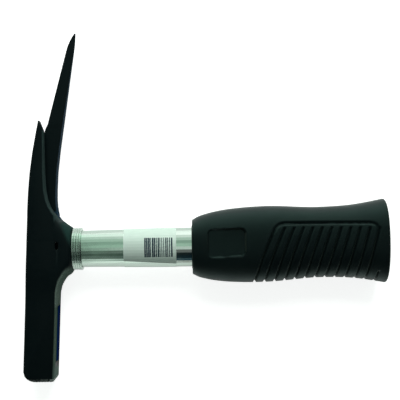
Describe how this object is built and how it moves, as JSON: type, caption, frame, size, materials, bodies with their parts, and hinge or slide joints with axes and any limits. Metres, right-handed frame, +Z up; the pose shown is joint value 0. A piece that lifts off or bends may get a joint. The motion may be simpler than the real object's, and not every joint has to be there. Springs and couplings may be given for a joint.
{
  "type": "lathing hammer",
  "caption": "Roofer's lathing hammer: square milled poll, claw slot beside a long spike, blind eye on an oval steel tube, soft ribbed grip.",
  "frame": {"origin": "middle of the underside of the hammer's bounding box, as the hammer lies on its side", "axes": "+X along the handle from the head to the butt, +Y up the head from the striking face to the spike's tip, +Z up, towards the side with the short tine"},
  "size_m": [0.2988, 0.2866, 0.0413],
  "materials": {
    "head_lacquer": "satin black lacquer on forged steel, worn to a dull grey along some edges",
    "insert_plastic": "matt navy moulded plastic",
    "magnet_plating": "nickel plate",
    "tube_plating": "bright zinc plate, drawn along the tube",
    "collar_plating": "bright zinc plate",
    "core_steel": "bare turned steel",
    "pin_steel": "blackened steel",
    "liner_plastic": "hard black moulded plastic",
    "grip_rubber": "soft matt black rubber with a fine grain",
    "plug_plastic": "moulded plastic",
    "label_film": "printed film"
  },
  "bodies": {
    "root": {"hammer_head": "head_lacquer", "magnet_strip": "insert_plastic", "nail_magnet": "magnet_plating", "handle_tube": "tube_plating", "crimp_collar": "collar_plating", "tube_core": "core_steel", "lock_pin": "pin_steel", "grip_liner": "liner_plastic", "grip_sleeve": "grip_rubber", "tube_end_plug": "plug_plastic", "tube_label": "label_film"}
  },
  "joints": []
}
